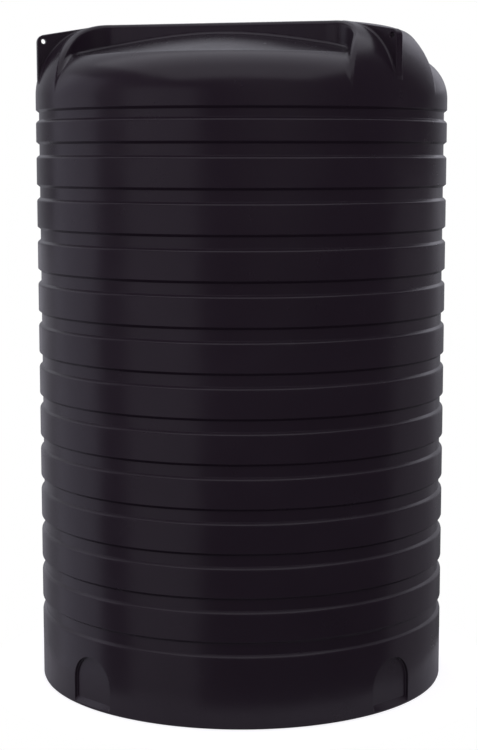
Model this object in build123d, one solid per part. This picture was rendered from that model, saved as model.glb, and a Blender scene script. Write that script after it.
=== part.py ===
from build123d import *
import os
from math import atan2, cos, hypot, radians, sin, sqrt, tan

# Upright rainwater tank, moulded in one piece in black polyethylene, with its
# screw lid, breather and screwed pipe fittings.
# Millimetres, +Z up. The origin is the centre of the round base, on the ground.
# A bearing is in degrees about Z: 0 faces -Y, the front, and 90 faces +X.

# Tank
tank_radius = 800.0
tank_height = 2552.0
wall = 8.0
star_wall = 10.0
base_edge_round = 12.0

# Grooves round the side
groove_pitch = 162.5
lowest_groove_top = 327.0
groove_height = 60.0
groove_depth = 12.0
groove_flank = 10.0
least_band = 50.0
neck_groove_drop = 316.0
neck_groove_height = 48.0

# Star-shaped top: three arms from a platform, with a recess between each two.
# A drop is measured down from the platform.
arm_round = 264.0
dome_spring_drop = 276.0
dome_round = 168.0
dome_round_turn = 65.0
recess_depth = 41.0
recess_bearings = (-15.0, 105.0, 225.0)
arm_bearings = (-75.0, 45.0, 165.0)
recess_back = 328.0
recess_half_width = 520.0
recess_flare = 6.0
recess_corner_round = 140.0
rim_round = 29.0
foot_round = 14.0
foot_sink = 0.15
foot_end_clear = 22.0

# Lifting lug on each arm
lug_thickness = 34.0
lug_foot_drop = 230.0
lug_heel = 24.0
lug_foot_inset = 4.0
lug_edge_drop = 42.0
lug_length = 240.0
lug_sink = 0.5
lug_corner_round = 28.0
lug_edge_round = 4.0
lug_hole_radius = 11.0
lug_hole_chamfer = 3.0
lug_hole_inset = 24.0
lug_hole_drop = 62.0

# Flat pads with round tops at the foot of the side
pad_bearings = (-45.0, 45.0, 135.0, 225.0)
pad_depth = 34.0
pad_half_width = 100.0
pad_height = 200.0
pad_sill = 12.0
pad_corner_round = 4.0

# Manhole, in a well sunk in the platform
well_radius = 262.0
well_depth = 62.0
well_edge_round = 8.0
neck_bore_radius = 200.0
neck_wall = 12.0
neck_drop = 14.0

# Screw lid
lid_gap = 3.0
lid_skirt_wall = 7.0
lid_skirt_lift = 8.0
lid_plate = 6.0
lid_edge_round = 4.0
lid_grip_count = 12
lid_grip_width = 18.0
lid_grip_out = 14.0
lid_web_count = 6
lid_web_thickness = 5.0
lid_web_depth = 12.0
dish_radius = 68.0
dish_depth = 26.0
seal_thickness = 4.0

# Breather in the dish of the lid
breather_radius = 20.0
breather_wall = 4.0
breather_flange_radius = 34.0
breather_flange = 4.0
breather_thread = 24.0
breather_rise = 9.0
breather_nut_size = 54.0
breather_nut_height = 10.0
mesh_seat = 2.0
mesh_thickness = 1.0
mesh_hole_radius = 1.6
mesh_hole_pitch = 5.0
cap_air_gap = 6.0
cap_radius = 48.0
cap_plate = 3.0
cap_skirt = 8.0
cap_foot_count = 4
cap_foot_thickness = 3.0
cap_foot_radius = 30.0

# Screwed fittings through the wall
flange_margin = 14.0
flange_thickness = 6.0
washer_thickness = 3.0
nut_margin = 12.0
nut_thickness = 14.0
nut_edge = 2.0
hole_gap = 0.5
thread_gap = 0.2
thread_spare = 4.0
pipe_edge = 1.5
large_barrel_radius = 30.0
large_bore_radius = 24.0
small_barrel_radius = 21.0
small_bore_radius = 16.5

# Outlet and drain, each in a pad at the back
outlet_bearing = 135.0
drain_bearing = 225.0
pad_fitting_height = 105.0
pad_barrel_out = 27.0
plug_length = 16.0
plug_head = 9.0
plug_head_size = 60.0
plug_seal = 2.0

# Overflow, on a flat boss in the side
overflow_bearing = 225.0
overflow_band = 11
overflow_spigot = 70.0
spigot_radius = 27.0
spigot_bore_radius = 22.0
boss_radius = 50.0
boss_rise = 2.0
boss_thickness = 16.0
screen_thickness = 1.5
screen_hole_radius = 2.0
screen_hole_pitch = 6.0

# Inlet, on top of the rear arm
inlet_bearing = 165.0
inlet_behind_recess = 112.0
inlet_barrel_out = 26.0


# Heights, radii and slopes that follow from the sizes above
arm_spring = tank_height - arm_round
arm_centre = tank_radius - arm_round
dome_spring = tank_height - dome_spring_drop
dome_arc_out = tank_radius - dome_round + dome_round * cos(radians(dome_round_turn))
dome_arc_top = dome_spring + dome_round * sin(radians(dome_round_turn))
dome_slope = (tank_height - recess_depth - dome_arc_top) / (dome_arc_out - recess_back)
neck_groove_top = tank_height - neck_groove_drop
pad_distance = tank_radius - pad_depth
neck_top = tank_height - neck_drop
lid_under = neck_top + seal_thickness
lid_top = lid_under + lid_plate
skirt_inner = neck_bore_radius + neck_wall + lid_gap
skirt_outer = skirt_inner + lid_skirt_wall
skirt_foot = tank_height - well_depth + lid_skirt_lift
dish_floor = lid_top - dish_depth
breather_bore = breather_radius - breather_wall
breather_top = dish_floor + breather_flange + breather_rise


def turned(bearing, shape):
    # A shape built facing +X, turned to face a bearing
    return Rot(0, 0, bearing - 90.0) * shape


def lathe(curve):
    # A closed outline of radius and height, turned about Z
    return revolve(Plane.XZ * make_face(curve), Axis.Z)


def post(radius, low, high):
    # An upright cylinder about Z
    return extrude(Plane.XY.offset(low) * Circle(radius), high - low)


def ring(outer, inner, low, high):
    # A flat ring or tube about Z
    outline = Polyline((inner, low), (outer, low), (outer, high), (inner, high), close=True)
    return lathe(outline)


def grooves():
    # The bottom and top edge of each groove, from the ground up
    room = neck_groove_top - neck_groove_height - least_band - lowest_groove_top
    tops = [lowest_groove_top + row * groove_pitch for row in range(int(room / groove_pitch) + 1)]
    rows = [(top - groove_height, top) for top in tops]
    return rows + [(neck_groove_top - neck_groove_height, neck_groove_top)]


def body_form(inset):
    # The round body with its grooves and dome, taken in by the inset
    radius = tank_radius - inset
    floor_radius = radius - groove_depth
    spread = inset * tan(atan2(groove_depth, groove_flank) / 2)
    side = [(radius, inset + base_edge_round)]
    for low, high in grooves():
        side.append((radius, low - spread))
        side.append((floor_radius, low + groove_flank - spread))
        side.append((floor_radius, high - groove_flank + spread))
        side.append((radius, high + spread))
    side.append((radius, dome_spring))
    arc_centre = (tank_radius - dome_round, dome_spring)
    arc_radius = dome_round - inset
    arc_end_radius = arc_centre[0] + arc_radius * cos(radians(dome_round_turn))
    arc_end_height = dome_spring + arc_radius * sin(radians(dome_round_turn))
    hub_radius = recess_back - recess_corner_round / 2
    hub_height = arc_end_height + (arc_end_radius - hub_radius) * dome_slope
    outline = Polyline((0, inset), (radius - base_edge_round, inset))
    outline += CenterArc((radius - base_edge_round, inset + base_edge_round), base_edge_round, -90, 90)
    outline += Polyline(side)
    outline += CenterArc(arc_centre, arc_radius, 0, dome_round_turn)
    outline += Polyline(
        (arc_end_radius, arc_end_height), (hub_radius, hub_height), (0, hub_height), (0, inset)
    )
    return lathe(outline)


def shoulder_form(inset):
    # The platform and the arms' rounded shoulders, before the recesses are cut
    radius = tank_radius - inset
    outline = Polyline((0, neck_groove_top), (radius, neck_groove_top), (radius, arm_spring))
    outline += CenterArc((arm_centre, arm_spring), arm_round - inset, 0, 90)
    outline += Polyline((arm_centre, tank_height - inset), (0, tank_height - inset), (0, neck_groove_top))
    return lathe(outline)


def recess_prism(inset):
    # The space that one recess takes, facing +X, with the inset added all round
    lean = tan(radians(recess_flare))
    back = recess_back - inset
    far = 1.5 * tank_radius
    near_half = recess_half_width + inset / cos(radians(recess_flare)) - inset * lean
    far_half = near_half + (far - back) * lean
    plan = make_face(Polyline((back, -near_half), (far, -far_half), (far, far_half), (back, near_half), close=True))
    corners = plan.vertices().sort_by(Axis.X)[:2]
    plan = fillet(corners, recess_corner_round + inset)
    low = neck_groove_top - tank_radius
    return extrude(Plane.XY.offset(low) * plan, 2 * tank_height - low)


def rim_edges(star, inset):
    # The edges between the upright recess walls and the star's outer faces
    def upright(face):
        centre = face.center()
        inside = hypot(centre.X, centre.Y) < 0.985 * (tank_radius - inset)
        return inside and abs(face.normal_at(centre).Z) < 0.1

    walls = [face for face in star.faces() if upright(face)]
    outer_edges = [edge for face in star.faces() if not upright(face) for edge in face.edges()]
    edges = [edge for face in walls for edge in face.edges() if edge in outer_edges]
    return [edge for edge in edges if edge.center().Z > neck_groove_top + 1]


def star_form(inset):
    # The platform with its three arms and their rounded rims
    star = shoulder_form(inset)
    for bearing in recess_bearings:
        star -= turned(bearing, recess_prism(inset))
    return fillet(rim_edges(star, inset), rim_round - inset)


def foot_bead():
    # The rounded inside corner between one recess and the dome, facing +X
    low, high = neck_groove_top, tank_height
    layer = extrude(Plane.XY.offset(low) * Rectangle(4 * tank_radius, 4 * tank_radius), high - low)
    space = ((recess_prism(foot_sink) - body_form(foot_sink)) & layer).solids().sort_by(SortBy.VOLUME)[-1]

    def on_body(face):
        centre = face.center()
        normal = face.normal_at(centre)
        return abs(centre.Y) < 5 and normal.X < 0.01 and -0.999 < normal.Z < 0.01

    floor_faces = [face for face in space.faces() if face.geom_type != GeomType.PLANE and on_body(face)]
    other_edges = [edge for face in space.faces() if face not in floor_faces for edge in face.edges()]
    edges = [edge for face in floor_faces for edge in face.edges() if edge in other_edges]
    foot = [edge for edge in edges if low + 1 < edge.center().Z < high - 1]
    bead = space - fillet(foot, foot_round + foot_sink)
    return bead & Cylinder(tank_radius - foot_end_clear, 2 * high)


def pad_cut(inset, foot):
    # The space in front of one pad, facing +X, with the inset added round its arch
    half = pad_half_width + inset
    spring = pad_height - pad_half_width
    outline = Polyline((-half, spring), (-half, foot), (half, foot), (half, spring))
    outline += CenterArc((0, spring), half, 0, 180)
    plane = Plane(origin=(pad_distance - inset, 0, 0), x_dir=(0, 1, 0), z_dir=(1, 0, 0))
    cut = extrude(plane * make_face(outline), tank_radius)
    return fillet(cut.faces().sort_by(Axis.X)[0].edges(), pad_corner_round + inset)


def lug_form():
    # The upright lifting lug of one arm, facing +X
    lug_foot = tank_height - lug_foot_drop
    lug_end = tank_radius - lug_length
    arm_top = arm_spring + sqrt(arm_round**2 - (lug_end - arm_centre) ** 2)
    outline = Polyline(
        (arm_centre, lug_foot),
        (tank_radius - lug_foot_inset, lug_foot),
        (tank_radius, lug_foot + lug_heel),
        (tank_radius, tank_height - lug_edge_drop),
        (lug_end, arm_top - lug_sink),
        close=True,
    )
    plate = extrude(Plane.XZ * make_face(outline), lug_thickness / 2, both=True)
    corner = plate.edges().filter_by(Axis.Y).sort_by(Axis.X)[-2:].sort_by(Axis.Z)[-1]
    plate = fillet(corner, lug_corner_round)
    rims = plate.edges().filter_by(lambda edge: abs(edge.center().Y) > 1 and edge.center().X > lug_end)
    return fillet(rims.filter_by(lambda edge: edge.center().Z > lug_foot + 1), lug_edge_round)


def lug_hole():
    # The chamfered hole across one lug, facing +X
    half = lug_thickness / 2
    wide = lug_hole_radius + lug_hole_chamfer
    outline = Polyline(
        (0, -half), (wide, -half), (lug_hole_radius, lug_hole_chamfer - half),
        (lug_hole_radius, half - lug_hole_chamfer), (wide, half), (0, half), close=True,
    )
    place = Pos(tank_radius - lug_hole_inset, 0, tank_height - lug_hole_drop)
    return place * Rot(90, 0, 0) * lathe(outline)


def at_pad(bearing):
    # The place of a fitting in the middle of a pad, with +Z out of the tank
    return Rot(0, 0, bearing - 90) * Pos(pad_distance, 0, pad_fitting_height) * Rot(0, 90, 0)


def at_boss():
    # The place of the overflow, with +Z out of the tank
    reach = tank_radius + boss_rise
    overflow_height = (grooves()[overflow_band - 1][1] + grooves()[overflow_band][0]) / 2
    return Rot(0, 0, overflow_bearing - 90) * Pos(reach, 0, overflow_height) * Rot(0, 90, 0)


def at_arm():
    # The place of the inlet, with +Z out of the tank
    return Rot(0, 0, inlet_bearing - 90) * Pos(recess_back + inlet_behind_recess, 0, tank_height)


def hexagon(across_flats, low, high):
    # A hexagonal bar about Z with rounded-off corners at its top
    bar = extrude(Plane.XY.offset(low) * RegularPolygon(across_flats / 2, 6, major_radius=False), high - low)
    turned_bar = post(across_flats / 2 / cos(radians(30)), low, high)
    return bar & chamfer(turned_bar.edges().filter_by(GeomType.CIRCLE).sort_by(Axis.Z)[-1], nut_edge)


def fitting(name, place, thickness, barrel, tail, bore, out):
    # A screwed fitting through a wall whose outer face is at Z = 0: a flanged connector
    # inside, a washer on each face, a nut outside, and beyond it the connector's tail
    inner_face = -thickness - washer_thickness
    margin = barrel + flange_margin
    nut_top = washer_thickness + nut_thickness
    thread_end = nut_top + thread_spare
    step = [(barrel, thread_end), (tail, thread_end + barrel - tail)] if tail < barrel else []
    outline = Polyline(
        (bore, inner_face - flange_thickness),
        (margin, inner_face - flange_thickness),
        (margin, inner_face),
        (barrel, inner_face),
        *step,
        (tail, out - pipe_edge),
        (tail - pipe_edge, out),
        (bore, out),
        close=True,
    )
    nut = hexagon(2 * (barrel + nut_margin), washer_thickness, nut_top)
    nut -= post(barrel + thread_gap, washer_thickness - 1, nut_top + 1)
    return {
        name + "_connector": place * lathe(outline),
        name + "_washer_inner": place * ring(margin, barrel + hole_gap, inner_face, -thickness),
        name + "_washer_outer": place * ring(margin, barrel + hole_gap, 0, washer_thickness),
        name + "_nut": place * nut,
    }


def fitting_hole(barrel, thickness):
    # What a fitting needs cut through a wall whose outer face is at Z = 0
    return post(barrel + hole_gap, -2 * thickness, thickness)


def mesh_disc(radius, open_radius, low, thickness, hole_radius, pitch):
    # A round insect screen, with rows of holes over the open middle
    count = int(2 * open_radius / pitch) + 1
    places = [place for place in HexLocations(pitch / 2, count, count, major_radius=False)]
    inside = [p for p in places if hypot(p.position.X, p.position.Y) < open_radius - hole_radius]
    sheet = Circle(radius) - [place * Circle(hole_radius) for place in inside]
    return extrude(Plane.XY.offset(low) * sheet, thickness)


def tank_outer():
    # The outside of the tank
    body = body_form(0) + star_form(0)
    bead = foot_bead()
    for bearing in recess_bearings:
        body += turned(bearing, bead)
    body += at_boss() * post(boss_radius, -tank_radius / 2, 0)
    for bearing in arm_bearings:
        body += turned(bearing, lug_form())
    for bearing in pad_bearings:
        body -= turned(bearing, pad_cut(0, pad_sill))
    body -= post(well_radius, tank_height - well_depth, tank_height + 1)
    mouth = [
        edge
        for edge in body.edges().filter_by(GeomType.CIRCLE)
        if abs(edge.radius - well_radius) < 0.01 and edge.center().Z > tank_height - 0.01
    ]
    return fillet(mouth, well_edge_round)


def tank_cavity():
    # The room for water, which leaves the wall all round
    cavity = body_form(wall) + star_form(star_wall)
    for bearing in pad_bearings:
        cavity -= turned(bearing, pad_cut(wall, -pad_height))
    cavity -= at_boss() * post(boss_radius + boss_thickness, -boss_thickness, boss_thickness)
    cavity -= post(well_radius + wall, tank_height - well_depth - wall, tank_height)
    return cavity


def tank_shell():
    # The moulded tank: walls, neck, lugs and the holes for its fittings
    shell = tank_outer() - tank_cavity()
    well_floor = tank_height - well_depth
    shell += ring(neck_bore_radius + neck_wall, neck_bore_radius, well_floor - wall / 2, neck_top)
    shell -= post(neck_bore_radius, well_floor - 2 * wall, tank_height)
    for bearing in arm_bearings:
        shell -= turned(bearing, lug_hole())
    shell -= at_pad(outlet_bearing) * fitting_hole(large_barrel_radius, wall)
    shell -= at_pad(drain_bearing) * fitting_hole(large_barrel_radius, wall)
    shell -= at_boss() * fitting_hole(large_barrel_radius, boss_thickness)
    shell -= at_arm() * fitting_hole(small_barrel_radius, star_wall)
    return shell


def manhole_lid():
    # The screw lid: plate, skirt with finger grips, sunk dish and webs below
    outline = Polyline(
        (breather_radius + hole_gap, dish_floor - lid_plate),
        (dish_radius + lid_plate, dish_floor - lid_plate),
        (dish_radius + lid_plate, lid_under),
        (skirt_inner, lid_under),
        (skirt_inner, skirt_foot),
        (skirt_outer, skirt_foot),
        (skirt_outer, lid_top),
        (dish_radius, lid_top),
        (dish_radius, dish_floor),
        (breather_radius + hole_gap, dish_floor),
        close=True,
    )
    lid = lathe(outline)
    grip_tip = skirt_outer + lid_grip_out
    grip = Polyline(
        (skirt_inner + 1, -lid_grip_width / 2),
        (grip_tip - lid_grip_width / 2, -lid_grip_width / 2),
    )
    grip += CenterArc((grip_tip - lid_grip_width / 2, 0), lid_grip_width / 2, -90, 180)
    grip += Polyline(
        (grip_tip - lid_grip_width / 2, lid_grip_width / 2),
        (skirt_inner + 1, lid_grip_width / 2),
        (skirt_inner + 1, -lid_grip_width / 2),
    )
    block = extrude(Plane.XY.offset(skirt_foot) * make_face(grip), lid_top - skirt_foot)
    block = fillet(block.edges().group_by(Axis.Z)[-1].sort_by(Axis.X)[-1], lid_edge_round)
    for place in PolarLocations(0, lid_grip_count):
        lid += place * block
    web_inner = dish_radius + lid_plate / 2
    web_outer = neck_bore_radius - lid_gap
    web = Box(web_outer - web_inner, lid_web_thickness, lid_web_depth + lid_plate / 2)
    web = Pos((web_inner + web_outer) / 2, 0, lid_under - lid_web_depth / 2 + lid_plate / 4) * web
    for place in PolarLocations(0, lid_web_count):
        lid += place * web
    mouth = [
        edge
        for edge in lid.edges().filter_by(GeomType.CIRCLE)
        if abs(edge.radius - dish_radius) < 0.01 and edge.center().Z > lid_top - 0.01
    ]
    return fillet(mouth, lid_edge_round / 2)


def breather_body():
    # The flanged tube in the lid, with a seat for its mesh
    outline = Polyline(
        (breather_bore, dish_floor - lid_plate - breather_thread),
        (breather_radius, dish_floor - lid_plate - breather_thread),
        (breather_radius, dish_floor),
        (breather_flange_radius, dish_floor),
        (breather_flange_radius, dish_floor + breather_flange),
        (breather_radius, dish_floor + breather_flange),
        (breather_radius, breather_top),
        (breather_bore + mesh_seat, breather_top),
        (breather_bore + mesh_seat, breather_top - mesh_thickness),
        (breather_bore, breather_top - mesh_thickness),
        close=True,
    )
    return lathe(outline)


def breather_nut():
    top = dish_floor - lid_plate
    nut = hexagon(breather_nut_size, 0, breather_nut_height)
    nut -= post(breather_radius + thread_gap, -1, breather_nut_height + 1)
    return Pos(0, 0, top) * Rot(180, 0, 0) * nut


def breather_cap():
    # The rain cap, on feet that stand on the flange and leave the air a way in
    under = breather_top + cap_air_gap
    outline = Polyline(
        (0, under),
        (cap_radius - cap_plate, under),
        (cap_radius - cap_plate, under - cap_skirt),
        (cap_radius, under - cap_skirt),
        (cap_radius, under + cap_plate / 2),
        (cap_radius - cap_plate, under + cap_plate),
        (0, under + cap_plate),
        close=True,
    )
    cap = lathe(outline)
    foot_low = dish_floor + breather_flange
    foot_inner = breather_radius + thread_gap
    foot = Box(cap_foot_radius - foot_inner, cap_foot_thickness, under + cap_plate / 2 - foot_low)
    foot = Pos((cap_foot_radius + foot_inner) / 2, 0, (under + cap_plate / 2 + foot_low) / 2) * foot
    for place in PolarLocations(0, cap_foot_count):
        cap += place * foot
    return cap


pieces = {"tank_shell": tank_shell()}
large = (large_barrel_radius, large_barrel_radius, large_bore_radius)
spigot = (large_barrel_radius, spigot_radius, spigot_bore_radius)
small = (small_barrel_radius, small_barrel_radius, small_bore_radius)
pieces |= fitting("outlet", at_pad(outlet_bearing), wall, *large, pad_barrel_out)
pieces |= fitting("drain", at_pad(drain_bearing), wall, *large, pad_barrel_out)
pieces |= fitting("overflow", at_boss(), boss_thickness, *spigot, overflow_spigot)
pieces |= fitting("inlet", at_arm(), star_wall, *small, inlet_barrel_out)

# The drain's plug and its seal
plug_seat = pad_barrel_out + plug_seal
plug = hexagon(plug_head_size, plug_seat, plug_seat + plug_head)
plug += post(large_bore_radius - thread_gap, plug_seat - plug_length, plug_seat + plug_head / 2)
pieces["drain_plug"] = at_pad(drain_bearing) * plug
seal = ring(large_barrel_radius - pipe_edge, large_bore_radius, pad_barrel_out, plug_seat)
pieces["drain_plug_seal"] = at_pad(drain_bearing) * seal

# The overflow's insect screen, on the inside end of its connector
screen_top = -boss_thickness - washer_thickness - flange_thickness
screen_low = screen_top - screen_thickness
rim = large_barrel_radius + flange_margin
screen = mesh_disc(rim, spigot_bore_radius, screen_low, screen_thickness, screen_hole_radius, screen_hole_pitch)
pieces["overflow_screen"] = at_boss() * screen

# Manhole lid, its seal and its breather
pieces["lid_seal"] = ring(neck_bore_radius + neck_wall, neck_bore_radius, neck_top, lid_under)
pieces["manhole_lid"] = manhole_lid()
pieces["breather_body"] = breather_body()
pieces["breather_nut"] = breather_nut()
mesh_radius = breather_bore + mesh_seat - thread_gap
mesh_low = breather_top - mesh_thickness
mesh = mesh_disc(mesh_radius, breather_bore, mesh_low, mesh_thickness, mesh_hole_radius, mesh_hole_pitch)
pieces["breather_mesh"] = mesh
pieces["breather_cap"] = breather_cap()

os.makedirs("parts", exist_ok=True)
for name, solid in pieces.items():
    export_step(solid, f"parts/{name}.step")
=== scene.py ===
import math

import bpy
import numpy as np
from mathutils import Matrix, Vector


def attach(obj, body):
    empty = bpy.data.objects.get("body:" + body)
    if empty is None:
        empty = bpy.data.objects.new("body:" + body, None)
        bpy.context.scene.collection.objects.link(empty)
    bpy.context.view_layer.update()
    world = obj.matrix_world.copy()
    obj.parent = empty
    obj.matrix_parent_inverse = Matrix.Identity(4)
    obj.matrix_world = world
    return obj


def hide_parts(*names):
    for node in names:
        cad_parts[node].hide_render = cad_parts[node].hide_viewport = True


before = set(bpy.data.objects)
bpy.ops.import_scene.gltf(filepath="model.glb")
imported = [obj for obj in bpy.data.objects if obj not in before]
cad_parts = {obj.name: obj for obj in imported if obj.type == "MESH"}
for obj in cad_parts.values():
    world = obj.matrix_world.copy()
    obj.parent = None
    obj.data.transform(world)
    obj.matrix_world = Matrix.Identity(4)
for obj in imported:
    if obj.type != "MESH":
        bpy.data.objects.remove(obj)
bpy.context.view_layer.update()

# Sizes of the tank, in millimetres and degrees. Bearings count from the front towards the right
RADIUS = 800.0
HEIGHT = 2552.0
BASE_ROUND = 8.0

GROOVE_COUNT = 12
GROOVE_PITCH = 162.5
LOWEST_GROOVE_TOP = 327.0
GROOVE_HEIGHT = 60.0
GROOVE_DEPTH = 12.0
GROOVE_FLANK = 10.0
NECK_GROOVE = (2188.0, 2236.0)
GROOVE_EDGE = 2.0
LEDGE_EDGE = 10.0

ARM_SPRING = 2288.0
DOME_SPRING = 2276.0
DOME_ROUND = 168.0
DOME_TURN = 65.0
DOME_SLOPE = 12.4
DOME_CREASE = 8.0
# Each recess by its bearing and its back wall's distance from the axis
RECESSES = ((-15.0, 328.0), (105.0, 560.0), (225.0, 328.0))
ARM_BEARINGS = {"left": -75.0, "rear": 165.0, "right": 45.0}
PLATFORM_RADIUS = 290.0
RECESS_HALF = 520.0
RECESS_FLARE = 4.0
FLARE_START = 328.0
RECESS_CORNER = 125.0
RIM_ROUND = 15.0
FOOT_ROUND = 14.0
STAR_INNER_GAP = 6.4
STAR_OUTER_GAP = 5.0

PAD_BEARINGS = (-45.0, 45.0, 135.0, 225.0)
PAD_DISTANCE = 782.0
FITTED_PAD_DISTANCE = 766.0
PAD_HALF = 100.0
PAD_TOP = 200.0
PAD_SILL = 12.0
SILL_RISE = 16.0
PAD_LIP = 1.5
PAD_CORNER = 2.0
PAD_FOOT_CUT = 2.0
PAD_OPENING_TOP = 250.0
PAD_CELLS = 16
PAD_SIDE_POINTS = 9
PAD_LIP_STEPS = 3
PAD_CORNER_STEPS = 4

WELL_RADIUS = 262.0
WELL_FLOOR = 2490.0
NECK_OUTER = 212.0
NECK_INNER = 200.0
NECK_TOP = 2538.0
WELL_RIM_ROUND = 8.0
WELL_FLOOR_ROUND = 5.0
NECK_RIM_ROUND = 2.0
NECK_FOOT_ROUND = 3.0
WELL_WALL_GAP = 4.0

LUG_END = 560.0
LUG_HALF = 17.0
LUG_EDGE = 4.0
LUG_TIP = (800.0, 2510.0)
# Two points on the heel's line, each as a distance from the axis and a height
LUG_HEEL = (796.0, 2322.0, 800.0, 2346.0)
LUG_HEEL_ROUND = 30.0
LUG_CORNER = 28.0
# The lifting eye's distance from the axis, its height, its radius and the rounding of its edge
LUG_HOLE = (776.0, 2490.0, 9.5, 1.5)
LUG_FOOT = 10.0
LUG_SINK = 0.3
LUG_TRIM = 0.02
LUG_CELL = 3.5
LUG_CELLS = (78, 22, 66)
LUG_NET_START = (538.0, 2330.0)

FITTING_HOLE = 30.5
PAD_FITTING_HEIGHT = 105.0
FITTED_PADS = (135.0, 225.0)
# The boss's bearing, height, radius and its face's distance from the axis
BOSS = (225.0, 2003.25, 50.0, 802.0)
BOSS_BORE_DEPTH = 16.0
BOSS_SIDE_DEPTH = 12.0
BOSS_BORE_ROUND = 1.0
BOSS_RIM_ROUND = 2.0
BOSS_TURNS = 96
# The inlet hole's place along x and y, and its radius
INLET = (113.9, 425.0, 21.5)
HOLE_REACH = 20.0

# The wall, the height where the star top meets the side, and how finely the skins are divided
WALL = 8.0
SEAM = 2262.0
BASE_GAP = 0.5
BASE_CENTRE = 5.0
TURNS = 576
STEP = 8.0
SETTLE_ROUNDS = 8

# Limits that keep divisions safe
SMALL_LENGTH = 1e-6
SMALL_SPREAD = 1e-5
TINY = 1e-9
NEARLY_PARALLEL = 0.9999

MILLIMETRE = 0.001

# Scale, detail and roughness of the noises in the plastics
CLOUDS = (3.2, 4, 0.6)
GLOSS = (9.0, 5, 0.62)
WAVES = (5.0, 2, 0.5)
GRAIN_DETAIL = 3
# The range that most of a noise's values lie in
NOISE_RANGE = (0.3, 0.7)
PLASTIC_IOR = 1.5

# Sockets of a Mix node by its kind: first value, second value and result
MIX_SOCKETS = {"FLOAT": (2, 3, 0), "RGBA": (6, 7, 2)}

# Camera and studio, in metres, degrees and watts
CAMERA_PLACE = (0.0, -6.725, 2.0681)
CAMERA_DIP = 7.4148
FLOOR_RADIUS = 1.04
FLOOR_DROP = 0.0006
FLOOR_POINTS = 128
FLOOR_COLOUR = (0.40, 0.39, 0.43, 1)
FLOOR_GLOW = 0.75
FLOOR_MIRROR_SHARE = 0.02
GLOW_WAY = (0.0, 0.76, 0.65)
GLOW_SPAN = (0.42, 0.86)
MIRROR_LEVELS = (0.03, 0.5)
AMBIENT_LEVEL = 0.25
AMBIENT_TINT = (0.90, 0.90, 1.0, 1)
WHITE = (1, 1, 1, 1)
MIDDLE = 1.3
FILL_BEARINGS = (20.0, 110.0, 200.0, 290.0)
FILL_DISTANCE = 6.0
FILL_HEIGHT = 3.2
FILL_SIZE = 4.0
FILL_POWER = 170


class Skin:
    # Points, their normals and faces of one mesh, in millimetres

    def __init__(self, flip=False):
        self.flip = flip
        self.points = []
        self.normals = []
        self.faces = []
        self.count = 0

    def add(self, points, normals):
        points = np.asarray(points, float).reshape(-1, 3)
        first = self.count
        self.points.append(points)
        self.normals.append(np.asarray(normals, float).reshape(-1, 3))
        self.count += len(points)
        return first + np.arange(len(points))

    def quads(self, a, b, c, d):
        self.faces.extend(np.stack([a, b, c, d], axis=-1).reshape(-1, 4).tolist())

    def bridge(self, rings):
        # Joins closed rings of equal length, each to the next
        for low, high in zip(rings[:-1], rings[1:]):
            self.quads(low, np.roll(low, -1), np.roll(high, -1), high)

    def open_round(self, centre, axis, radius, depth):
        # Takes away the faces near an axis, as far as depth on both sides of its centre
        offset = np.concatenate(self.points) - np.asarray(centre, float)
        axis = np.asarray(axis, float)
        along = offset @ axis
        away = np.linalg.norm(offset - along[:, None] * axis, axis=1)
        near = (away < radius) & (np.abs(along) < depth)
        self.faces = [face for face in self.faces if not near[face].any()]

    def turn(self, origin, x_axis, y_axis, z_axis):
        # Moves the whole skin from its own axes to the tank's
        axes = np.array([x_axis, y_axis, z_axis], float)
        self.points = [points @ axes + np.asarray(origin, float) for points in self.points]
        self.normals = [normals @ axes for normals in self.normals]

    def mesh(self, name):
        # A Blender object in metres, whose faces look the way their normals point
        points = np.concatenate(self.points) * MILLIMETRE
        normals = np.concatenate(self.normals)
        normals /= np.maximum(np.linalg.norm(normals, axis=1), TINY)[:, None]
        if self.flip:
            normals = -normals
        used = np.unique(np.concatenate([np.asarray(face) for face in self.faces]))
        index = np.zeros(len(points), int)
        index[used] = np.arange(len(used))
        points, normals = points[used], normals[used]
        self.faces = [index[face].tolist() for face in self.faces]
        spots = np.array([[face[k * len(face) // 4] for k in range(4)] for face in self.faces])
        a, b, c, d = points[spots].transpose(1, 0, 2)
        turned = (np.cross(c - a, d - b) * normals[spots].sum(axis=1)).sum(axis=1) < 0
        faces = [face[::-1] if back else face for face, back in zip(self.faces, turned)]
        mesh = bpy.data.meshes.new(name)
        mesh.from_pydata(points.tolist(), [], faces)
        mesh.update()
        mesh.polygons.foreach_set("use_smooth", [True] * len(mesh.polygons))
        mesh.normals_split_custom_set_from_vertices(normals.tolist())
        piece = bpy.data.objects.new(name, mesh)
        bpy.context.scene.collection.objects.link(piece)
        return piece


def compass(bearing):
    # The x and y of a bearing's direction
    return math.sin(math.radians(bearing)), -math.cos(math.radians(bearing))


def rolled(a, a_normal, b, b_normal, radius):
    # What lies inside both of two fields, with the edge where they meet rolled to a radius
    across = (a_normal * b_normal).sum(0)
    deep_a = a + radius
    deep_b = b + radius
    apart = np.maximum(1 - across**2, SMALL_SPREAD)
    share_a = (deep_a - across * deep_b) / apart
    share_b = (deep_b - across * deep_a) / apart
    corner = (share_a > 0) & (share_b > 0) & (across < NEARLY_PARALLEL)
    reach = np.sqrt(np.maximum(deep_a * share_a + deep_b * share_b, TINY))
    first = a > b
    distance = np.where(corner, reach - radius, np.where(first, a, b))
    round_normal = (share_a * a_normal + share_b * b_normal) / reach
    normal = np.where(corner, round_normal, np.where(first, a_normal, b_normal))
    return distance, normal


def turned_field(x, y, distance, out, up):
    # A field of radius and height as one of x, y and z
    radius = np.maximum(np.hypot(x, y), SMALL_LENGTH)
    return distance, np.stack([out * x / radius, out * y / radius, up])


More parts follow.
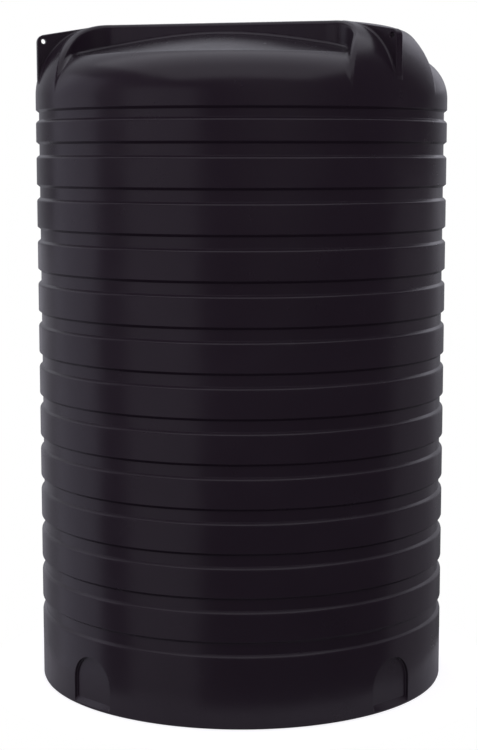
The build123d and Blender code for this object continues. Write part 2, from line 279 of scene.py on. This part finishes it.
def shoulder_field(x, y, z):
    # The tank without its recesses: wall, round shoulder and flat platform
    curve = HEIGHT - ARM_SPRING
    out = np.hypot(x, y) - (RADIUS - curve)
    up = z - ARM_SPRING
    reach = np.maximum(np.hypot(out, up), SMALL_LENGTH)
    arc = (out > 0) & (up > 0)
    top = up > 0
    distance = np.where(arc, reach, np.where(top, up, out)) - curve
    n_out = np.where(arc, out / reach, np.where(top, 0.0, 1.0))
    n_up = np.where(arc, up / reach, np.where(top, 1.0, 0.0))
    return turned_field(x, y, distance, n_out, n_up)


def dome_field(x, y, z):
    # The low dome that shows in the recesses: an arc that a soft crease joins to a cone
    out = np.hypot(x, y) - (RADIUS - DOME_ROUND)
    up = z - DOME_SPRING
    reach = np.maximum(np.hypot(out, up), SMALL_LENGTH)
    side = up < 0
    arc = np.where(side, out, reach) - DOME_ROUND
    arc_out = np.where(side, 1.0, out / reach)
    arc_up = np.where(side, 0.0, up / reach)
    turn = math.radians(DOME_TURN)
    slope = math.radians(DOME_SLOPE)
    cone = (out - DOME_ROUND * math.cos(turn)) * math.sin(slope)
    cone = cone + (up - DOME_ROUND * math.sin(turn)) * math.cos(slope)
    share = np.clip((np.degrees(np.arctan2(up, out)) - DOME_TURN) / DOME_CREASE + 0.5, 0, 1)
    share = np.where(side, 0.0, share * share * (3 - 2 * share))
    n_out = arc_out * (1 - share) + math.sin(slope) * share
    n_up = arc_up * (1 - share) + math.cos(slope) * share
    length = np.hypot(n_out, n_up)
    return turned_field(x, y, arc * (1 - share) + cone * share, n_out / length, n_up / length)


def recess_field(x, y, bearing, depth):
    # The arms' side of one recess wall: above 0 inside the recess
    east, north = compass(bearing)
    out = x * east + y * north
    across = -x * north + y * east
    side = np.where(across < 0, -1.0, 1.0)
    lean = math.radians(RECESS_FLARE)
    back = depth - out
    flank = np.abs(across) - RECESS_HALF - (out - FLARE_START) * math.tan(lean)
    flank = flank * math.cos(lean)
    ones = np.ones_like(out)
    back_normal = np.stack([-ones, 0 * ones])
    flank_normal = np.stack([-math.sin(lean) * ones, math.cos(lean) * ones])
    distance, normal = rolled(back, back_normal, flank, flank_normal, RECESS_CORNER)
    n_out, n_across = -normal[0], -normal[1] * side
    n_x = n_out * east - n_across * north
    n_y = n_out * north + n_across * east
    return -distance, np.stack([n_x, n_y, 0 * ones])


def top_field(x, y, z):
    # The star top: the shoulder cut by its recesses, and the dome that fills their lower part
    star, star_normal = shoulder_field(x, y, z)
    for bearing, depth in RECESSES:
        wall, wall_normal = recess_field(x, y, bearing, depth)
        star, star_normal = rolled(star, star_normal, wall, wall_normal, RIM_ROUND)
    dome, dome_normal = dome_field(x, y, z)
    distance, normal = rolled(-star, -star_normal, -dome, -dome_normal, FOOT_ROUND)
    return -distance, -normal


def settle(field, points, reach):
    # Moves points onto the surface of a field, and gives its normals there
    for _ in range(SETTLE_ROUNDS):
        distance, normal = field(*points)
        points = points - normal * np.clip(distance, -reach, reach)
    return points, field(*points)[1]


def net(skin, field, place, shape, reach, wrap):
    # A mesh of quads on a field's surface, from a grid that place() sets out. Returns its points' numbers
    samples = np.indices([n + 1 if not (wrap and axis == 0) else n for axis, n in enumerate(shape)])
    inside = field(*place(*samples.astype(float)))[0] < 0
    if wrap:
        inside = np.concatenate([inside, inside[:1]], axis=0)
    corners = sum(
        inside[a : a + shape[0], b : b + shape[1], c : c + shape[2]].astype(int)
        for a in (0, 1)
        for b in (0, 1)
        for c in (0, 1)
    )
    cells = np.argwhere((corners > 0) & (corners < 8))
    points, normals = settle(field, place(*(cells.T + 0.5)), reach)
    index = -np.ones(shape, int)
    index[tuple(cells.T)] = skin.add(points.T, normals.T)
    before = [np.roll(index, 1, axis) for axis in range(3)]
    for axis in range(3):
        low = inside[: shape[0], : shape[1], : shape[2]]
        high = inside[tuple(slice(1, None) if a == axis else slice(0, shape[a]) for a in range(3))]
        change = low != high
        b, c = [a for a in range(3) if a != axis]
        one = index
        two = before[b]
        three = np.roll(before[b], 1, c)
        four = before[c]
        good = change & (one >= 0) & (two >= 0) & (three >= 0) & (four >= 0)
        for edge_axis in (b, c):
            if not (wrap and edge_axis == 0):
                first = [slice(None)] * 3
                first[edge_axis] = 0
                good[tuple(first)] = False
        out = low & good
        back = ~low & good
        if axis == 1:
            out, back = back, out
        skin.quads(one[out], two[out], three[out], four[out])
        skin.quads(four[back], three[back], two[back], one[back])
    return index


def rounded_path(corners, radii, steps=4):
    # A path through corners of radius and height, each rounded, with its normals
    corners = np.asarray(corners, float)
    points, normals = [], []
    for i, corner in enumerate(corners):
        before = corner - corners[i - 1] if i else corners[1] - corner
        after = corners[i + 1] - corner if i + 1 < len(corners) else before
        before = before / np.linalg.norm(before)
        after = after / np.linalg.norm(after)
        n_before = np.array([-before[1], before[0]])
        turn = before[0] * after[1] - before[1] * after[0]
        if radii[i] == 0 or abs(turn) < SMALL_LENGTH:
            points.append(corner)
            normals.append(n_before)
            continue
        angle = math.asin(max(-1.0, min(1.0, turn)))
        start = corner - before * radii[i] * math.tan(abs(angle) / 2)
        side = -1.0 if turn < 0 else 1.0
        centre = start + n_before * radii[i] * side
        for step in range(steps + 1):
            here = angle * step / steps
            n_x = n_before[0] * math.cos(here) - n_before[1] * math.sin(here)
            n_y = n_before[0] * math.sin(here) + n_before[1] * math.cos(here)
            normals.append(np.array([n_x, n_y]))
            points.append(centre - normals[-1] * radii[i] * side)
    return np.array(points), np.array(normals)


def lathe(skin, path, normals, turns, holes=()):
    # Turns a path about Z; holes are spans of columns and rows that are left open
    angles = np.arange(turns) * 2 * math.pi / turns
    rows = []
    for (radius, height), (n_out, n_up) in zip(path, normals):
        ring = [radius * np.cos(angles), radius * np.sin(angles), np.full(turns, height)]
        facing = [n_out * np.cos(angles), n_out * np.sin(angles), np.full(turns, n_up)]
        rows.append(skin.add(np.stack(ring, 1), np.stack(facing, 1)))
    for row, (low, high) in enumerate(zip(rows[:-1], rows[1:])):
        keep = np.ones(turns, bool)
        for first_row, last_row, first, last in holes:
            if first_row <= row < last_row:
                keep[np.arange(first, last) % turns] = False
        skin.quads(low[keep], np.roll(low, -1)[keep], np.roll(high, -1)[keep], high[keep])
    return rows


def zip_rings(skin, one, two):
    # Joins two closed rows of points of any two lengths by their angle about Z
    def sorted_ring(ring):
        points = np.concatenate(skin.points)[ring]
        angles = np.arctan2(points[:, 1], points[:, 0]) % (2 * math.pi)
        order = np.argsort(angles)
        ring, angles = ring[order], angles[order]
        return np.append(ring, ring[0]), np.append(angles, angles[0] + 2 * math.pi)

    (a, a_angles), (b, b_angles) = sorted_ring(one), sorted_ring(two)
    i = j = 0
    while i < len(a) - 1 or j < len(b) - 1:
        if j == len(b) - 1 or (i < len(a) - 1 and a_angles[i + 1] <= b_angles[j + 1]):
            skin.faces.append([a[i], a[i + 1], b[j]])
            i += 1
        else:
            skin.faces.append([a[i], b[j + 1], b[j]])
            j += 1


def pad_outline(inset):
    # The pad's outline across and up, anticlockwise from the lower left, with outward normals
    corner = math.sqrt(0.5)
    left, right, spring = -PAD_HALF - inset, PAD_HALF + inset, PAD_TOP - PAD_HALF
    foot = PAD_SILL + inset
    arc_points = 3 * PAD_CELLS - 1 - 2 * PAD_SIDE_POINTS
    points = [(left + PAD_FOOT_CUT, foot + PAD_FOOT_CUT)]
    normals = [(-corner, -corner)]
    for y in np.linspace(left, right, PAD_CELLS + 1)[1:-1]:
        points.append((y, foot))
        normals.append((0, -1))
    points.append((right - PAD_FOOT_CUT, foot + PAD_FOOT_CUT))
    normals.append((corner, -corner))
    for z in np.linspace(foot, spring, PAD_SIDE_POINTS + 1)[1:]:
        points.append((right, z))
        normals.append((1, 0))
    for angle in np.linspace(0, math.pi, arc_points + 2)[1:-1]:
        points.append((right * math.cos(angle), spring + right * math.sin(angle)))
        normals.append((math.cos(angle), math.sin(angle)))
    for z in np.linspace(spring, foot, PAD_SIDE_POINTS + 1)[:-1]:
        points.append((left, z))
        normals.append((-1, 0))
    return np.array(points), np.array(normals)


def add_pad(skin, bearing, rows, first_row, last_row, first, last, turns, inset):
    # Fills the opening that the lathe left with a pad: lip, wall, corner and face
    east, north = compass(bearing)
    outward = np.array([east, north, 0.0])
    across = np.array([-north, east, 0.0])
    up = np.array([0.0, 0.0, 1.0])
    columns = np.arange(first, last + 1) % turns
    grid = np.array([rows[row][columns] for row in range(first_row, last_row + 1)])[::-1]
    opening = np.concatenate([grid[0, :-1], grid[:-1, -1], grid[-1, :0:-1], grid[:0:-1, 0]])
    edge = np.concatenate(skin.points)[opening]
    outline, facing = pad_outline(inset)
    wall = RADIUS - inset
    face = (FITTED_PAD_DISTANCE if bearing in FITTED_PADS else PAD_DISTANCE) - inset

    def on_tank(y, z):
        depth = np.sqrt(wall**2 - y**2)
        points = depth[:, None] * outward + y[:, None] * across + z[:, None] * up
        radial = points * [1, 1, 0] / wall
        return points, radial

    y, z = outline.T
    surface, radial = on_tank(y, z)
    along = np.cross(up, radial)
    away = facing[:, :1] * along + facing[:, 1:] * up
    flat_away = facing[:, :1] * across + facing[:, 1:] * up
    rings = [opening]
    start = surface + away * PAD_LIP
    start_y, start_z = start @ across, start @ up
    middle, middle_radial = on_tank((start_y + edge @ across) / 2, (start_z + edge @ up) / 2)
    rings.append(skin.add(middle, middle_radial))
    centre = surface + away * PAD_LIP - radial * PAD_LIP
    low_y, low_z = centre @ across - facing[:, 0] * PAD_LIP, centre @ up - facing[:, 1] * PAD_LIP
    rise = np.maximum(low_z.min() + SILL_RISE - low_z, 0.0)
    slope = np.where(facing[:, 1] < 0, np.arctan2(rise, centre @ outward - face), 0.0)[:, None]
    for share in np.linspace(0, 1, PAD_LIP_STEPS + 1):
        turn = share * (math.pi / 2 - slope)
        normal = radial * np.cos(turn) - away * np.sin(turn)
        rings.append(skin.add(centre + normal * PAD_LIP, normal))
    foot = (face + PAD_CORNER) * outward + low_y[:, None] * across + (low_z + rise)[:, None] * up
    centre = foot - flat_away * PAD_CORNER
    for share in np.linspace(0, 1, PAD_CORNER_STEPS + 1):
        turn = slope + share * (math.pi / 2 - slope)
        normal = -flat_away * np.cos(turn) + outward * np.sin(turn)
        rings.append(skin.add(centre - normal * PAD_CORNER, normal))
    skin.bridge(rings)
    if bearing not in FITTED_PADS:
        skin.faces.append(rings[-1].tolist())
        return
    y, z = low_y - facing[:, 0] * PAD_CORNER, low_z - facing[:, 1] * PAD_CORNER
    angle = np.arctan2(z - PAD_FITTING_HEIGHT, y)
    round_way = np.cos(angle)[:, None] * across + np.sin(angle)[:, None] * up
    circle = face * outward + PAD_FITTING_HEIGHT * up + FITTING_HOLE * round_way
    rim = skin.add(circle, np.tile(outward, (len(circle), 1)))
    skin.bridge([rings[-1], rim])
    if inset == 0:
        near = skin.add(circle, -round_way)
        far = skin.add(circle - WALL * outward, -round_way)
        skin.bridge([near, far])


def star_surface(inset, turns, step, flip):
    # The star top as a net round Z, with its lowest and its innermost ring
    skin = Skin(flip)
    inner, outer = PLATFORM_RADIUS + STAR_INNER_GAP, RADIUS + STAR_OUTER_GAP
    shape = (turns, int((outer - inner) / step) + 1, int((HEIGHT - SEAM) / step) + 1)

    def place(i, j, k):
        angle = i * 2 * math.pi / turns
        radius = inner + j * step
        return np.stack([radius * np.cos(angle), radius * np.sin(angle), SEAM + k * step])

    def field(x, y, z):
        distance, normal = top_field(x, y, z)
        return distance + inset, normal

    index = net(skin, field, place, shape, step, wrap=True)
    return skin, index[:, :, 0].max(axis=1), index[:, 0, :].max(axis=1)


def add_side(skin, inset, edge_steps):
    # The side with its grooves, the pads and the floor, from the seam down
    wall = RADIUS - inset
    corners, radii = [(wall, SEAM)], [0]
    tops = [LOWEST_GROOVE_TOP + GROOVE_PITCH * i for i in range(GROOVE_COUNT)]
    grooves = [(top - GROOVE_HEIGHT, top) for top in tops] + [NECK_GROOVE]
    for low, high in reversed(grooves):
        floor = wall - GROOVE_DEPTH
        corners += [(wall, high), (floor, high - GROOVE_FLANK), (floor, low + GROOVE_FLANK), (wall, low)]
        radii += [GROOVE_EDGE, GROOVE_EDGE, GROOVE_EDGE, LEDGE_EDGE]
    pad_rows = np.linspace(PAD_OPENING_TOP, inset + BASE_ROUND + BASE_GAP, PAD_CELLS + 1)
    corners += [(wall, z) for z in pad_rows] + [(wall, inset), (BASE_CENTRE, inset)]
    radii += [0] * len(pad_rows) + [BASE_ROUND, 0]
    path, normals = rounded_path(corners, radii, edge_steps)
    coarse = TURNS // 2
    first_row = int(np.argmin(np.abs(path[:, 1] - pad_rows[0])))
    holes = []
    for bearing in PAD_BEARINGS:
        column = round((bearing - 90) * coarse / 360)
        half = PAD_CELLS // 2
        holes.append((first_row, first_row + PAD_CELLS, column - half, column + half))
    rows = lathe(skin, path, normals, coarse, holes)
    for bearing, (low, high, first, last) in zip(PAD_BEARINGS, holes):
        add_pad(skin, bearing, rows, low, high, first, last, coarse, inset)
    skin.faces.append(rows[-1].tolist())
    return rows[0]


def copy_ring(skin, other, ring):
    # A ring of another skin's points, added to this one
    return skin.add(np.concatenate(other.points)[ring], np.concatenate(other.normals)[ring])


def open_inlet(skin, inset):
    # The inlet's hole in the platform, or in the inside of the wall under it
    x, y, radius = INLET
    skin.open_round((x, y, HEIGHT - inset), (0, 0, 1), radius, HOLE_REACH)


def open_overflow(skin, inset):
    # The overflow's hole behind its boss, or in the inside of the wall there
    bearing, height, _, depth = BOSS
    out = np.array([*compass(bearing), 0])
    skin.open_round(out * (depth - inset) + [0, 0, height], out, FITTING_HOLE, HOLE_REACH)


def outer_skins():
    # The star top with its well and neck, and the side below it
    top, bottom, middle = star_surface(0, TURNS, STEP, False)
    corners, radii = zip(
        ((PLATFORM_RADIUS, HEIGHT), 0),
        ((WELL_RADIUS, HEIGHT), WELL_RIM_ROUND),
        ((WELL_RADIUS, WELL_FLOOR), WELL_FLOOR_ROUND),
        ((NECK_OUTER, WELL_FLOOR), WELL_FLOOR_ROUND),
        ((NECK_OUTER, NECK_TOP), NECK_RIM_ROUND),
        ((NECK_INNER, NECK_TOP), NECK_RIM_ROUND),
        ((NECK_INNER, WELL_FLOOR - WALL), NECK_FOOT_ROUND),
        ((WELL_RADIUS + WALL, WELL_FLOOR - WALL), WELL_FLOOR_ROUND),
        ((WELL_RADIUS + WALL, HEIGHT - WALL - WELL_WALL_GAP), 0),
    )
    path, normals = rounded_path(corners, radii)
    rows = lathe(top, path, normals if normals[0, 1] > 0 else -normals, TURNS // 2)
    zip_rings(top, middle, rows[0])
    open_inlet(top, 0)
    side = Skin()
    ring = add_side(side, 0, 2)
    zip_rings(side, copy_ring(side, top, bottom), ring)
    open_overflow(side, 0)
    return top, side


def inner_skin():
    # The inside of the wall all round
    skin, bottom, middle = star_surface(WALL, TURNS // 2, 2 * STEP, True)
    ring = add_side(skin, WALL, 1)
    zip_rings(skin, bottom, ring)
    path = [(PLATFORM_RADIUS, HEIGHT - WALL), (WELL_RADIUS + WALL, HEIGHT - WALL)]
    rows = lathe(skin, path, [(0.0, 1.0), (0.0, 1.0)], TURNS // 2)
    zip_rings(skin, middle, rows[0])
    open_inlet(skin, WALL)
    open_overflow(skin, WALL)
    return skin


def lug_field(out, across, z):
    # One lifting lug with its hole, united with the arm below it by a soft foot
    ones = np.ones_like(out)

    def plane(distance, n_out, n_across, n_up):
        return distance, np.stack([n_out * ones, n_across * ones, n_up * ones])

    curve = HEIGHT - ARM_SPRING
    arm_top = ARM_SPRING + math.sqrt(curve**2 - (LUG_END - RADIUS + curve) ** 2)
    run, rise = LUG_TIP[0] - LUG_END, LUG_TIP[1] - arm_top
    length = math.hypot(run, rise)
    top = plane((-(out - LUG_END) * rise + (z - arm_top) * run) / length, -rise / length, 0, run / length)
    end = plane(out - LUG_TIP[0], 1, 0, 0)
    x0, z0, x1, z1 = LUG_HEEL
    heel_length = math.hypot(x1 - x0, z1 - z0)
    n_out, n_up = (z1 - z0) / heel_length, -(x1 - x0) / heel_length
    heel = plane((out - x1) * n_out + (z - z1) * n_up, n_out, 0, n_up)
    lug = rolled(*end, *heel, LUG_HEEL_ROUND)
    lug = rolled(*lug, *top, LUG_CORNER)
    side = np.where(across < 0, -1.0, 1.0)
    face = (np.abs(across) - LUG_HALF, np.stack([0 * ones, side, 0 * ones]))
    lug = rolled(*lug, *face, LUG_EDGE)
    hole_out, hole_up, hole_radius, hole_edge = LUG_HOLE
    away = np.maximum(np.hypot(out - hole_out, z - hole_up), SMALL_LENGTH)
    hole = (hole_radius - away, np.stack([(hole_out - out) / away, 0 * ones, (hole_up - z) / away]))
    distance, normal = rolled(*lug, *hole, hole_edge)
    body = shoulder_field(out, across, z)
    distance, normal = rolled(-distance, -normal, -body[0] - LUG_SINK, -body[1], LUG_FOOT)
    return -distance, -normal


def lug_skin(bearing):
    # The lug of the arm at a bearing, as a net of small cells near the lug alone
    skin = Skin()
    start_out, start_up = LUG_NET_START

    def place(i, j, k):
        across = (j - LUG_CELLS[1] // 2) * LUG_CELL
        return np.stack([start_out + i * LUG_CELL, across, start_up + k * LUG_CELL])

    net(skin, lug_field, place, LUG_CELLS, LUG_CELL, wrap=False)
    points = np.concatenate(skin.points)
    body = shoulder_field(*points.T)[0] + LUG_SINK
    high = body > LUG_TRIM
    skin.faces = [face for face in skin.faces if high[face].any()]
    east, north = compass(bearing)
    skin.turn((0, 0, 0), (east, north, 0), (-north, east, 0), (0, 0, 1))
    return skin


def boss_skin():
    # The flat round boss that the overflow is fitted through
    bearing, height, radius, depth = BOSS
    skin = Skin()
    corners, radii = zip(
        ((FITTING_HOLE, depth - BOSS_BORE_DEPTH), 0),
        ((FITTING_HOLE, depth), BOSS_BORE_ROUND),
        ((radius, depth), BOSS_RIM_ROUND),
        ((radius, depth - BOSS_SIDE_DEPTH), 0),
    )
    path, normals = rounded_path(corners, radii)
    lathe(skin, path, -normals if normals[2, 1] < 0 else normals, BOSS_TURNS)
    east, north = compass(bearing)
    skin.turn((0, 0, height), (-north, east, 0), (0, 0, 1), (east, north, 0))
    return skin


def feed(tree, socket, value):
    # Links an output to a socket, or sets the socket to a number or a colour
    if isinstance(value, bpy.types.NodeSocket):
        tree.links.new(value, socket)
    else:
        socket.default_value = value


def noise(tree, place, scale, detail, rough=0.5):
    node = tree.nodes.new("ShaderNodeTexNoise")
    feed(tree, node.inputs["Vector"], place)
    feed(tree, node.inputs["Scale"], scale)
    feed(tree, node.inputs["Detail"], detail)
    feed(tree, node.inputs["Roughness"], rough)
    return node.outputs["Fac"]


def fit(tree, value, source, target):
    # A value's range made another one, and held to its ends
    node = tree.nodes.new("ShaderNodeMapRange")
    feed(tree, node.inputs["Value"], value)
    feed(tree, node.inputs["From Min"], source[0])
    feed(tree, node.inputs["From Max"], source[1])
    feed(tree, node.inputs["To Min"], target[0])
    feed(tree, node.inputs["To Max"], target[1])
    return node.outputs["Result"]


def combine(tree, operation, *values):
    # A Math node of two or three values
    node = tree.nodes.new("ShaderNodeMath")
    node.operation = operation
    for socket, value in zip(node.inputs, values):
        feed(tree, socket, value)
    return node.outputs["Value"]


def blend(tree, kind, share, first, second):
    # From the first value to the second as the share goes from 0 to 1
    node = tree.nodes.new("ShaderNodeMix")
    node.data_type = kind
    first_socket, second_socket, result = MIX_SOCKETS[kind]
    feed(tree, node.inputs["Factor"], share)
    feed(tree, node.inputs[first_socket], first)
    feed(tree, node.inputs[second_socket], second)
    return node.outputs[result]


def bump(tree, height, distance, before=None):
    node = tree.nodes.new("ShaderNodeBump")
    node.inputs["Strength"].default_value = 1.0
    node.inputs["Distance"].default_value = distance
    tree.links.new(height, node.inputs["Height"])
    if before is not None:
        tree.links.new(before, node.inputs["Normal"])
    return node.outputs["Normal"]


def moulded(name, dark, light, rough, grain, grain_depth, wave_depth, metal):
    # Two near tones in slow clouds, uneven gloss, a fine grain and slow waves, with depths in millimetres
    material = bpy.data.materials.new(name)
    material.use_nodes = True
    tree = material.node_tree
    shader = tree.nodes["Principled BSDF"]
    shader.inputs["IOR"].default_value = PLASTIC_IOR
    shader.inputs["Metallic"].default_value = metal
    place = tree.nodes.new("ShaderNodeTexCoord").outputs["Object"]
    clouds = fit(tree, noise(tree, place, *CLOUDS), NOISE_RANGE, (0.0, 1.0))
    tree.links.new(blend(tree, "RGBA", clouds, (*dark, 1), (*light, 1)), shader.inputs["Base Color"])
    gloss = fit(tree, noise(tree, place, *GLOSS), NOISE_RANGE, rough)
    tree.links.new(gloss, shader.inputs["Roughness"])
    normal = bump(tree, noise(tree, place, grain, GRAIN_DETAIL), grain_depth * MILLIMETRE)
    if wave_depth:
        normal = bump(tree, noise(tree, place, *WAVES), wave_depth * MILLIMETRE, normal)
    tree.links.new(normal, shader.inputs["Normal"])
    material.diffuse_color = (*dark, 1)
    return material


def softbox(name, place, aim, width, height, power, colour):
    data = bpy.data.lights.new(name, "AREA")
    data.shape = "RECTANGLE"
    data.size, data.size_y = width, height
    data.energy = power
    data.color = colour
    lamp = bpy.data.objects.new(name, data)
    lamp.location = place
    direction = Vector(aim) - Vector(place)
    lamp.rotation_euler = direction.to_track_quat("-Z", "Y").to_euler()
    lamp.visible_camera = False
    bpy.context.scene.collection.objects.link(lamp)
    return lamp


# Camera at the photograph's angle
eye = bpy.data.cameras.new("camera")
eye.sensor_fit = "AUTO"
eye.sensor_width = 36.0
eye.lens = 81.47
eye.shift_x = -0.0033
eye.clip_end = 100.0
camera = bpy.data.objects.new("camera", eye)
camera.location = CAMERA_PLACE
camera.rotation_euler = (math.radians(90 - CAMERA_DIP), 0, 0)
bpy.context.scene.collection.objects.link(camera)
bpy.context.scene.camera = camera

# Plastics, rubber and steel
finishes = {}
for name, dark, light, rough, grain, grain_depth, wave_depth, metal in (
    ("tank_plastic", (0.0122, 0.0076, 0.0126), (0.0142, 0.0092, 0.0148), (0.22, 0.28), 520, 0.04, 1.2, 0),
    ("lid_plastic", (0.0100, 0.0095, 0.0110), (0.0130, 0.0122, 0.0140), (0.36, 0.46), 700, 0.05, 0.3, 0),
    ("fitting_plastic", (0.014, 0.014, 0.015), (0.019, 0.019, 0.021), (0.30, 0.42), 900, 0.03, 0, 0),
    ("seal_rubber", (0.022, 0.022, 0.022), (0.031, 0.031, 0.030), (0.62, 0.78), 600, 0.06, 0, 0),
    ("mesh_steel", (0.50, 0.50, 0.49), (0.58, 0.58, 0.57), (0.24, 0.38), 1200, 0.02, 0, 1),
):
    finishes[name] = moulded(name, dark, light, rough, grain, grain_depth, wave_depth, metal)

for name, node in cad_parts.items():
    slot = "fitting_plastic"
    if name in ("manhole_lid", "breather_cap", "breather_body", "breather_nut"):
        slot = "lid_plastic"
    elif name.endswith(("seal", "washer_inner", "washer_outer")):
        slot = "seal_rubber"
    elif name.endswith(("mesh", "screen")):
        slot = "mesh_steel"
    node.data.materials.clear()
    node.data.materials.append(finishes[slot])

# The tank's skins, lugs and boss
top, side = outer_skins()
pieces = {"tank_side": side, "tank_top": top, "tank_inside": inner_skin(), "overflow_boss": boss_skin()}
for label, bearing in ARM_BEARINGS.items():
    pieces["lug_" + label] = lug_skin(bearing)
for name, skin in pieces.items():
    piece = skin.mesh(name)
    piece.data.materials.append(finishes["tank_plastic"])
    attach(piece, "tank")
    if name == "tank_side":
        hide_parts("tank_shell")

# Floor, a grey disc that a glow for the camera makes pale and that keeps a soft shadow
angles = np.linspace(0, 2 * math.pi, FLOOR_POINTS + 1)[:-1]
rim = [(FLOOR_RADIUS * math.cos(a), FLOOR_RADIUS * math.sin(a), -FLOOR_DROP) for a in angles]
floor_mesh = bpy.data.meshes.new("floor")
floor_mesh.from_pydata(rim, [], [list(range(FLOOR_POINTS))])
floor = bpy.data.objects.new("floor", floor_mesh)
bpy.context.scene.collection.objects.link(floor)
pale = bpy.data.materials.new("pale_floor")
pale.use_nodes = True
tree = pale.node_tree
tree.nodes.clear()
ray = tree.nodes.new("ShaderNodeLightPath").outputs
seen = combine(tree, "MAXIMUM", ray["Is Camera Ray"], ray["Is Transmission Ray"])
shown = combine(tree, "MULTIPLY_ADD", ray["Is Glossy Ray"], FLOOR_MIRROR_SHARE, seen)
matt = tree.nodes.new("ShaderNodeBsdfDiffuse")
matt.inputs["Color"].default_value = FLOOR_COLOUR
glow = tree.nodes.new("ShaderNodeEmission")
tree.links.new(combine(tree, "MULTIPLY", shown, FLOOR_GLOW), glow.inputs["Strength"])
both = tree.nodes.new("ShaderNodeAddShader")
tree.links.new(matt.outputs[0], both.inputs[0])
tree.links.new(glow.outputs[0], both.inputs[1])
tree.links.new(both.outputs[0], tree.nodes.new("ShaderNodeOutputMaterial").inputs[0])
floor_mesh.materials.append(pale)

# World: white to the camera, for mirror rays half bright high behind the tank and dark elsewhere
world = bpy.data.worlds.new("studio")
bpy.context.scene.world = world
world.use_nodes = True
world.cycles.sampling_method = "NONE"
tree = world.node_tree
tree.nodes.clear()
ray = tree.nodes.new("ShaderNodeLightPath").outputs
toward = tree.nodes.new("ShaderNodeVectorMath")
toward.operation = "DOT_PRODUCT"
tree.links.new(tree.nodes.new("ShaderNodeTexCoord").outputs["Generated"], toward.inputs[0])
toward.inputs[1].default_value = GLOW_WAY
behind = fit(tree, toward.outputs["Value"], GLOW_SPAN, MIRROR_LEVELS)
mirror = combine(tree, "MAXIMUM", ray["Is Glossy Ray"], ray["Is Transmission Ray"])
level = blend(tree, "FLOAT", mirror, AMBIENT_LEVEL, behind)
shine = tree.nodes.new("ShaderNodeBackground")
tree.links.new(blend(tree, "FLOAT", ray["Is Camera Ray"], level, 1.0), shine.inputs["Strength"])
tree.links.new(blend(tree, "RGBA", ray["Is Camera Ray"], AMBIENT_TINT, WHITE), shine.inputs["Color"])
tree.links.new(shine.outputs[0], tree.nodes.new("ShaderNodeOutputWorld").inputs[0])

# Soft studio light: six boxes, and four plain fills all round that leave no gleam
softbox("left_box", (-4.2, 0.6, MIDDLE), (0.0, 0.0, MIDDLE), 3.0, 6.6, 27, (0.86, 0.84, 1.0))
softbox("front_box", (-4.0, -4.5, 0.9), (0.0, 0.0, 0.9), 4.4, 6.0, 21, (0.92, 0.88, 1.0))
softbox("top_box", (0.0, -1.5, 5.6), (0.0, -1.5, MIDDLE), 6.8, 6.4, 84, (0.93, 0.92, 1.0))
softbox("back_left_box", (-3.5, 3.7, -0.5), (0.0, 0.0, -0.5), 3.4, 4.0, 10, (0.90, 0.88, 1.0))
softbox("right_box", (4.7, 2.2, -0.3), (0.0, 0.0, -0.3), 5.6, 4.4, 12, (0.92, 0.88, 1.0))
softbox("back_right_box", (3.5, 4.4, 4.2), (0.0, 0.0, 2.4), 3.0, 2.8, 9, (0.90, 0.88, 1.0))
for number, bearing in enumerate(FILL_BEARINGS):
    east, north = compass(bearing)
    place = (FILL_DISTANCE * east, FILL_DISTANCE * north, FILL_HEIGHT)
    aim = (0.0, 0.0, MIDDLE)
    fill = softbox("fill_%d" % number, place, aim, FILL_SIZE, FILL_SIZE, FILL_POWER, (1.0, 1.0, 1.0))
    fill.visible_glossy = False

bpy.context.scene.view_settings.view_transform = "Standard"
